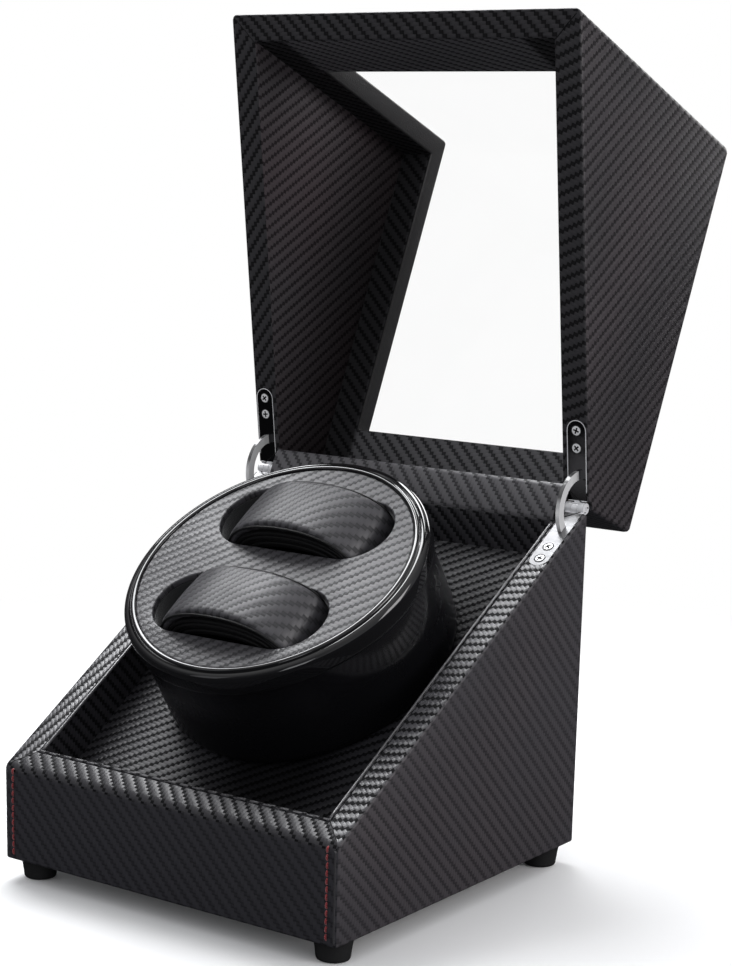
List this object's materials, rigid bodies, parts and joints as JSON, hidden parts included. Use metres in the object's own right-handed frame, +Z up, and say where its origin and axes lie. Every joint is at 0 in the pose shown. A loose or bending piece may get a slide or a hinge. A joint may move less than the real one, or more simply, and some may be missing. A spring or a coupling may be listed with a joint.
{
  "type": "watch winder box",
  "caption": "Leathercloth-covered box with a hinged windowed lid and a tilted motor-driven rotor that holds watches on removable pillows.",
  "frame": {"origin": "on the floor, below the middle of the bounding box of the box with its lid open", "axes": "+Z up, -Y out of the front of the box, +X to the right seen from the front"},
  "size_m": [0.18, 0.2932, 0.371],
  "materials": {
    "board": "raw fibreboard",
    "leathercloth": "woven-look leathercloth, semi-gloss",
    "lining": "woven-look leathercloth, satin",
    "thread": "waxed thread",
    "gloss_black": "high gloss",
    "black_plastic": "fine texture",
    "rubber": "matte",
    "chrome": "polished",
    "screw_steel": "zinc plated",
    "motor_steel": "plated",
    "brass": "turned",
    "board_green": "solder mask",
    "red_wire": "wire insulation",
    "black_wire": "wire insulation",
    "pillow_leather": "soft leathercloth",
    "stuffing": "foam",
    "pane": "clear, polished",
    "cup_lining": "flocked",
    "switch_blue": "moulded"
  },
  "bodies": {
    "base": {"base_carcass": "board", "base_wrap": "leathercloth", "front_stitching": "thread", "inner_tray": "lining", "bottom_panel": "black_plastic", "bottom_panel_screws": "screw_steel", "feet": "rubber", "foot_screws": "screw_steel", "base_leaf_left": "chrome", "base_leaf_right": "chrome", "base_leaf_screws": "chrome", "hinge_pin_left": "chrome", "hinge_pin_right": "chrome", "gearbox": "motor_steel", "motor": "motor_steel", "motor_bracket": "motor_steel", "bracket_screws": "screw_steel", "shaft_bush": "brass", "rear_plate": "black_plastic", "rear_plate_screws": "screw_steel", "dc_jack": "black_plastic", "jack_nut": "chrome", "mode_switch": "switch_blue", "control_board": "board_green", "board_parts": "black_plastic", "board_standoffs": "brass", "board_screws": "screw_steel", "motor_leads": "red_wire", "supply_leads": "black_wire"},
    "knob": {"mode_knob": "black_plastic", "knob_spindle": "screw_steel"},
    "rotor": {"rotor_drum": "gloss_black", "rotor_bezel": "gloss_black", "rotor_face": "lining", "cup_upper": "cup_lining", "cup_lower": "cup_lining", "rotor_hub": "black_plastic", "hub_screws": "screw_steel", "drive_shaft": "screw_steel"},
    "upper_pillow": {"pillow_cover_upper": "pillow_leather", "pillow_core_upper": "stuffing"},
    "lower_pillow": {"pillow_cover_lower": "pillow_leather", "pillow_core_lower": "stuffing"},
    "left_stay": {"stay_left": "chrome"},
    "right_stay": {"stay_right": "chrome"},
    "lid": {"lid_carcass": "board", "lid_wrap": "leathercloth", "lid_lining": "lining", "window_pane": "pane", "lid_leaf_left": "chrome", "lid_leaf_right": "chrome", "lid_leaf_screws": "chrome", "hinge_flap": "lining"}
  },
  "joints": [
    {"name": "lid_hinge", "type": "hinge", "parent": "base", "child": "lid", "pos_m": [0, 0.03606, 0.161], "axis": [-1, 0, 0], "range_deg": [-114, 0], "deforming": ["hinge_flap"]},
    {"name": "stay_left_swing", "type": "hinge", "parent": "base", "child": "left_stay", "pos_m": [0, 0.03606, 0.161], "axis": [-1, 0, 0], "range_deg": [-28.5, 0]},
    {"name": "stay_right_swing", "type": "hinge", "parent": "base", "child": "right_stay", "pos_m": [0, 0.03606, 0.161], "axis": [-1, 0, 0], "range_deg": [-28.5, 0]},
    {"name": "rotor_spin", "type": "hinge", "parent": "base", "child": "rotor", "pos_m": [0, -0.07204, 0.1416], "axis": [0, -0.5461, 0.8377], "continuous": true},
    {"name": "pillow_upper_lift", "type": "slide", "parent": "rotor", "child": "upper_pillow", "axis": [0, -0.5461, 0.8377], "range_m": [0, 0.06]},
    {"name": "pillow_lower_lift", "type": "slide", "parent": "rotor", "child": "lower_pillow", "axis": [0, -0.5461, 0.8377], "range_m": [0, 0.06]},
    {"name": "mode_knob_turn", "type": "hinge", "parent": "base", "child": "knob", "pos_m": [-0.013, 0.04006, 0.0385], "axis": [0, 1, 0], "range_deg": [-135, 135]}
  ],
  "couplings": [
    {"joint": "stay_left_swing", "follows": "lid_hinge", "ratio": 0.25},
    {"joint": "stay_right_swing", "follows": "lid_hinge", "ratio": 0.25}
  ]
}
